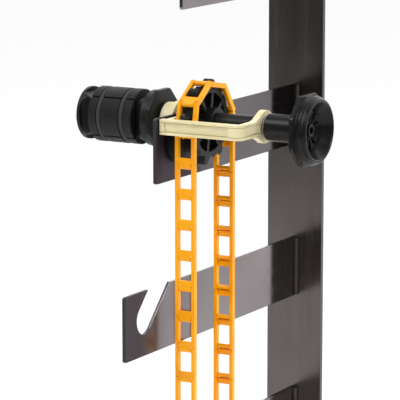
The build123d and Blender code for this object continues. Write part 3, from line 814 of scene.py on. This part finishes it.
low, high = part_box("plug_hub")
face = high.x * 1000
spigot = face - PLUG_FLANGE_T
wedge_base = spigot - SPIGOT_LEN
socket = face - TUBE_SOCKET
rings = round_rings(
    (face, TUBE_R), (face, PLUG_FLANGE_FLAT - 6), (face - 0.6, PLUG_FLANGE_FLAT - 5.2)
)
for x, inset in ((face - 0.6, 1.2), (face - 1.0, 0.3), (face - 1.6, 0), (spigot + 0.6, 0), (spigot, 0.6)):
    rings.append(flat_ring(x, PLUG_FLANGE_FLAT - inset, 8, 22.5, PLUG_FLANGE_CAP - inset))
rings += round_rings(
    (spigot, SPIGOT_R), (wedge_base + 0.6, SPIGOT_R), (wedge_base, SPIGOT_R - 0.6)
)
rings += wedge_rings(wedge_base, -WEDGE_LEN)
rings += round_rings(
    (wedge_base - WEDGE_LEN, PLUG_BORE_R), (socket, PLUG_BORE_R), (socket, TUBE_R)
)
piece("plug", ringed(rings), acetal, "drive", "black_acetal", "plug_hub")

low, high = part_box("expander_cone")
back = low.x * 1000
cone_base = high.x * 1000 - WEDGE_LEN
rings = round_rings(
    (back, ROD_R), (back, WEDGE_CORNER_R - 0.6), (back + 0.6, WEDGE_CORNER_R),
    (cone_base, WEDGE_CORNER_R),
)
rings += wedge_rings(cone_base, WEDGE_LEN)
rings += round_rings((cone_base + WEDGE_LEN, ROD_R))
piece("end_wedge", ringed(rings), acetal, "rod", "black_acetal", "expander_cone")


def ribbed(material, pitch, depth):
    """Adds fine ridges across x to a material, under its own relief."""
    nodes, links = material.node_tree.nodes, material.node_tree.links
    coords = nodes.new("ShaderNodeTexCoord")
    wave = nodes.new("ShaderNodeTexWave")
    wave.bands_direction = "X"
    wave.inputs["Scale"].default_value = pi / 10 / pitch
    links.new(coords.outputs["Object"], wave.inputs["Vector"])
    ridge = bump(nodes, links, wave.outputs["Fac"], depth, 0.9)
    surface = nodes["Principled BSDF"]
    fine = surface.inputs["Normal"].links[0].from_node
    links.new(ridge, fine.inputs["Normal"])


JAW_RIB_PITCH = 0.0021
JAW_RIB_DEPTH = 0.0005
JAW_EDGE = 0.0005
jaw_plastic = black_plastic("jaw plastic", (0.014, 0.014, 0.015), 0.45, 0.6, 500, 0.00003)
ribbed(jaw_plastic, JAW_RIB_PITCH, JAW_RIB_DEPTH)
for k in range(1, 5):
    name = f"jaw_{k}"
    piece(name + "_shell", eased_copy(name, JAW_EDGE), jaw_plastic, name, "jaw_plastic", name)

RUBBER_LOW = (0.012, 0.012, 0.012)
RUBBER_HIGH = (0.035, 0.034, 0.032)
BAND_W = 0.0034
BAND_T = 0.0017
BAND_CHAMFER = 0.0004
BAND_TAIL = 0.0032
TAIL_INSET = 0.00025
BAND_STEPS = 16


def band_rubber(name):
    """Matt rubber with a powdery bloom."""
    material, nodes, links, surface = shader(name)
    bloom = noise_field(nodes, links, 350, 4)
    links.new(ramp(nodes, links, bloom, RUBBER_LOW, RUBBER_HIGH), surface.inputs["Base Color"])
    links.new(span(nodes, links, bloom, 0.65, 0.85), surface.inputs["Roughness"])
    links.new(bump(nodes, links, bloom, 0.00008, 0.5), surface.inputs["Normal"])
    return material


def band_quarter(bm, centre, outer, turn):
    """The part of a band on one jaw, with slim tails that bridge the gaps as the jaws spread."""
    rows = [(turn - 45, -BAND_TAIL, TAIL_INSET), (turn - 45, 0, TAIL_INSET)]
    rows += [(turn - 45 + 90 * k / BAND_STEPS, 0, 0) for k in range(BAND_STEPS + 1)]
    rows += [(turn + 45, 0, TAIL_INSET), (turn + 45, BAND_TAIL, TAIL_INSET)]
    rings = []
    for angle, slide, inset in rows:
        across, along = cos(radians(angle)), sin(radians(angle))
        half, top, under = BAND_W / 2 - inset, outer - inset, outer - BAND_T + inset
        c = BAND_CHAMFER
        section = [(half, under + c), (half, top - c), (half - c, top), (c - half, top)]
        section += [(-half, top - c), (-half, under + c), (c - half, under), (half - c, under)]
        ring = []
        for x, r in section:
            point = Vector((x, r * across - slide * along, r * along + slide * across))
            ring.append(bm.verts.new(centre + point))
        rings.append(ring)
    for near, far in zip(rings, rings[1:]):
        for k in range(len(near)):
            bm.faces.new((near[k], near[k - 1], far[k - 1], far[k]))
    bm.faces.new(rings[0])
    bm.faces.new(rings[-1])


rubber = band_rubber("band rubber")
low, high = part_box("jaw_bands")
band_r = (high.z - low.z) / 2
for k in range(4):
    bm = bmesh.new()
    for x in (low.x + BAND_W / 2, high.x - BAND_W / 2):
        band_quarter(bm, Vector((x, axis.y, axis.z)), band_r, 90 * k)
    bmesh.ops.recalc_face_normals(bm, faces=bm.faces[:])
    piece(f"bands_{k + 1}", bm, rubber, f"jaw_{k + 1}", "band_rubber", "jaw_bands")

# ---------------------------------------------------------------- draw rod
# Threaded steel rod through the tube: the knob's brass insert runs on one end
# and a nut holds the end wedge on the other.

THREAD_PITCH = 0.00125
THREAD_DEPTH = 0.0004
ROD_CHAMFER = 0.7
thread = zinc_plate("zinc thread")
ribbed(thread, THREAD_PITCH, THREAD_DEPTH)
low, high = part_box("draw_rod")
start, end = low.x * 1000, high.x * 1000
rings = round_rings(
    (start, 0), (start, ROD_R - ROD_CHAMFER), (start + ROD_CHAMFER, ROD_R),
    (end - ROD_CHAMFER, ROD_R), (end, ROD_R - ROD_CHAMFER), (end, 0),
)
piece("rod", ringed(rings, closed=False), thread, "rod", "zinc_steel", "draw_rod")


def hexagon_nut(node, bore, chamfer):
    """Six-sided nut in a CAD nut's place, its corners turned down at both ends; mm."""
    low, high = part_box(node)
    start, end = low.x * 1000, high.x * 1000
    flat, corner = (high.z - low.z) * 500, (high.y - low.y) * 500
    rings = round_rings((start, bore + 0.3), (start, flat - 0.2))
    for x, cap in (
        (start + chamfer * 0.5, (flat + corner) / 2), (start + chamfer, corner),
        (end - chamfer, corner), (end - chamfer * 0.5, (flat + corner) / 2),
    ):
        rings.append(flat_ring(x, flat, 6, 0, cap))
    rings += round_rings(
        (end, flat - 0.2), (end, bore + 0.3), (end - 0.3, bore), (start + 0.3, bore)
    )
    return ringed(rings)


NUT_CHAMFER = 0.9
nut = hexagon_nut("cone_nut", ROD_R, NUT_CHAMFER)
piece("wedge_nut", nut, zinc, "rod", "zinc_steel", "cone_nut")

# ---------------------------------------------------------------- knob
# Black moulded hand knob: a plain neck, an eight-sided grip, two rounded ridges
# and a dished front with a ribbed floor, over a brass insert.

knob_black = black_plastic("knob black", (0.007, 0.007, 0.0065), 0.22, 0.32, 700, 0.000008)
NECK_LEN = 24.5
FLARE_LEN = 5.0
GRIP_LEN = 4.0
GRIP_CAP = 28.8
DISH_DEPTH = 10.4
DISH_RIBS = 12
DISH_RIB_SIZE = (0.0016, 0.0108, 0.0011)
DISH_RIB_PLACE = (0.0006, 0.0098)
CAVITY_START = 3.1
CAVITY_END = 17.1
FLOOR_T = 2.0
low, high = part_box("knob_body")
neck, rim = low.x * 1000, high.x * 1000
flare = neck + NECK_LEN
grip = flare + FLARE_LEN
dish = grip + GRIP_LEN
dish_floor = rim - DISH_DEPTH
grip_flat = (high.z - low.z) * 500
rings = round_rings(
    (neck, BUSH_BORE_R), (neck, 9.9), (neck + 0.2, 10.3), (neck + 0.6, 10.5), (flare - 0.8, 10.5),
    (flare + 0.3, 11.0), (flare + 1.5, 12.6), (flare + 2.9, 15.6), (flare + 4.2, 18.8), (grip, 20.6),
)
for x, inset in (
    (0, 1.2), (0.12, 0.6), (0.45, 0.12), (0.9, 0), (3.2, 0), (3.7, 0.15), (3.95, 0.6), (4.0, 1.0)
):
    rings.append(flat_ring(grip + x, grip_flat - inset, 8, 22.5, GRIP_CAP - inset))
rings += round_rings(
    (dish + 0.05, 26.1), (dish + 0.4, 25.9), (dish + 0.8, 25.1), (dish + 1.2, 24.8),
    (dish + 1.7, 24.8), (dish + 2.1, 25.2), (dish + 2.4, 25.75), (dish + 2.9, 26.0),
    (dish + 3.9, 26.05), (dish + 4.8, 25.8), (dish + 5.4, 25.3), (dish + 5.8, 24.6),
    (dish + 6.2, 24.2), (dish + 6.6, 24.2), (dish + 7.0, 24.45), (dish + 7.6, 24.4),
    (dish + 8.2, 24.1), (rim - 0.25, 23.6), (rim, 22.9), (rim, 22.3), (rim - 0.25, 21.7),
    (rim - 1.0, 21.2), (rim - 3.5, 19.6),
)
rings += round_rings(*((dish_floor + x, r) for x, r in (
    (3.5, 17.0), (2.2, 16.2), (0.4, 15.4), (0, 14.8), (0, 5.5), (0.3, 5.1), (0.8, 4.9), (3.0, 4.7),
    (3.3, 4.55), (3.4, 4.2), (3.4, 3.2), (3.25, 2.9), (3.0, 2.8), (0.05, 2.8), (0.05, 0.0),
)))
rings.reverse()
rings += round_rings(
    (neck + CAVITY_START, BUSH_BORE_R), (neck + CAVITY_END, BUSH_BORE_R),
    (neck + CAVITY_END, ROD_R + BORE_CLEAR), (dish_floor - FLOOR_T, ROD_R + BORE_CLEAR),
    (dish_floor - FLOOR_T, 0),
)
bm = ringed(rings, 192, closed=False)
for k in range(DISH_RIBS):
    rib = bmesh.ops.create_cube(bm, size=1.0)
    place = Matrix.Translation((dish_floor / 1000 + DISH_RIB_PLACE[0], DISH_RIB_PLACE[1], 0))
    lay = place @ Matrix.Diagonal((*DISH_RIB_SIZE, 1))
    whole = Matrix.Translation(axis) @ Matrix.Rotation(tau * (k + 0.5) / DISH_RIBS, 4, "X") @ lay
    bmesh.ops.transform(bm, matrix=whole, verts=rib["verts"])
piece("knob", bm, knob_black, "knob", "knob_plastic", "knob_body")


BRASS_LOW = (0.62, 0.43, 0.15)
BRASS_HIGH = (0.78, 0.57, 0.25)
INSERT_CHAMFER = 0.6


def machined_brass(name):
    """Brass with fine turning marks."""
    material, nodes, links, surface = shader(name)
    marks = noise_field(nodes, links, 500, 3, (8, 1, 1))
    links.new(ramp(nodes, links, marks, BRASS_LOW, BRASS_HIGH), surface.inputs["Base Color"])
    links.new(span(nodes, links, marks, 0.22, 0.4), surface.inputs["Roughness"])
    surface.inputs["Metallic"].default_value = 1.0
    return material


brass = machined_brass("machined brass")
insert = hexagon_nut("knob_insert", ROD_R + 0.05, INSERT_CHAMFER)
piece("insert", insert, brass, "knob", "insert_brass", "knob_insert")

# ---------------------------------------------------------------- floor, light and camera
# Pale studio floor well below the bracket, with painted shade in front, a broad soft key
# from above left, a side light, and a bright backdrop that the steel faces pick up.

FLOOR_DROP = 0.06
FLOOR_SIZE = 30
FLOOR_FRONT = -1.45
FLOOR_FADE = 0.35
FLOOR_SLANT = 0.5
FLOOR_PAINTED_SHADE = 0.06
FLOOR_PALE = 0.96
WORLD_DARK = 0.42
WORLD_BRIGHT = 1.85
WORLD_FADE = (-0.35, 0.75)
low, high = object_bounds()
bm = bmesh.new()
bmesh.ops.create_grid(bm, x_segments=1, y_segments=1, size=FLOOR_SIZE)
floor_mesh = bpy.data.meshes.new("floor")
bm.to_mesh(floor_mesh)
bm.free()
floor = bpy.data.objects.new("floor", floor_mesh)
floor.location = (0, 0, low.z - FLOOR_DROP)
bpy.context.scene.collection.objects.link(floor)
floor_paint, nodes, links, surface = shader("floor paint")
coords = nodes.new("ShaderNodeTexCoord")
split = nodes.new("ShaderNodeSeparateXYZ")
slant = nodes.new("ShaderNodeMath")
slant.operation = "MULTIPLY_ADD"
slant.inputs[1].default_value = -FLOOR_SLANT
links.new(coords.outputs["Object"], split.inputs["Vector"])
links.new(split.outputs["X"], slant.inputs[0])
links.new(split.outputs["Y"], slant.inputs[2])
# Painted shade: the floor's colour falls to near black towards the front.
falloff = nodes.new("ShaderNodeMapRange")
falloff.interpolation_type = "SMOOTHSTEP"
falloff.inputs["From Min"].default_value = FLOOR_FRONT - FLOOR_FADE
falloff.inputs["From Max"].default_value = FLOOR_FRONT + FLOOR_FADE
falloff.inputs["To Min"].default_value = FLOOR_PAINTED_SHADE
falloff.inputs["To Max"].default_value = FLOOR_PALE
links.new(slant.outputs["Value"], falloff.inputs["Value"])
links.new(falloff.outputs["Result"], surface.inputs["Base Color"])
surface.inputs["Roughness"].default_value = 0.9
floor_mesh.materials.append(floor_paint)

world = bpy.data.worlds.new("studio")
bpy.context.scene.world = world
world.use_nodes = True
nodes, links = world.node_tree.nodes, world.node_tree.links
coords = nodes.new("ShaderNodeTexCoord")
split = nodes.new("ShaderNodeSeparateXYZ")
fade = nodes.new("ShaderNodeMapRange")
fade.interpolation_type = "SMOOTHSTEP"
fade.inputs["From Min"].default_value = WORLD_FADE[0]
fade.inputs["From Max"].default_value = WORLD_FADE[1]
fade.inputs["To Min"].default_value = WORLD_DARK
fade.inputs["To Max"].default_value = WORLD_BRIGHT
links.new(coords.outputs["Generated"], split.inputs["Vector"])
links.new(split.outputs["Y"], fade.inputs["Value"])
links.new(fade.outputs["Result"], nodes["Background"].inputs["Strength"])
nodes["Background"].inputs["Color"].default_value = (1, 1, 1, 1)


def area_light(name, place, target, size, power):
    """Square soft light at a place, aimed at a target."""
    lamp = bpy.data.lights.new(name, "AREA")
    lamp.size = size
    lamp.energy = power
    thing = bpy.data.objects.new(name, lamp)
    thing.location = place
    thing.rotation_euler = (Vector(target) - Vector(place)).to_track_quat("-Z", "Y").to_euler()
    bpy.context.scene.collection.objects.link(thing)


area_light("key", (-0.6, -1.3, 1.6), axis, 1.0, 22)
area_light("side", (1.6, -0.5, 0.9), axis, 0.8, 10)

CAMERA_PLACE = (0.9750, -1.8919, 0.3771)
CAMERA_AZIMUTH = 29.43
CAMERA_TILT = 10.30
CAMERA_LENS = 234.2
lens = bpy.data.cameras.new("camera")
lens.sensor_width = 36.0
lens.lens = CAMERA_LENS
lens.clip_end = 100
camera = bpy.data.objects.new("camera", lens)
camera.location = CAMERA_PLACE
camera.rotation_euler = (radians(90 - CAMERA_TILT), 0, radians(CAMERA_AZIMUTH))
bpy.context.scene.collection.objects.link(camera)
bpy.context.scene.camera = camera
bpy.context.scene.view_settings.view_transform = "Standard"
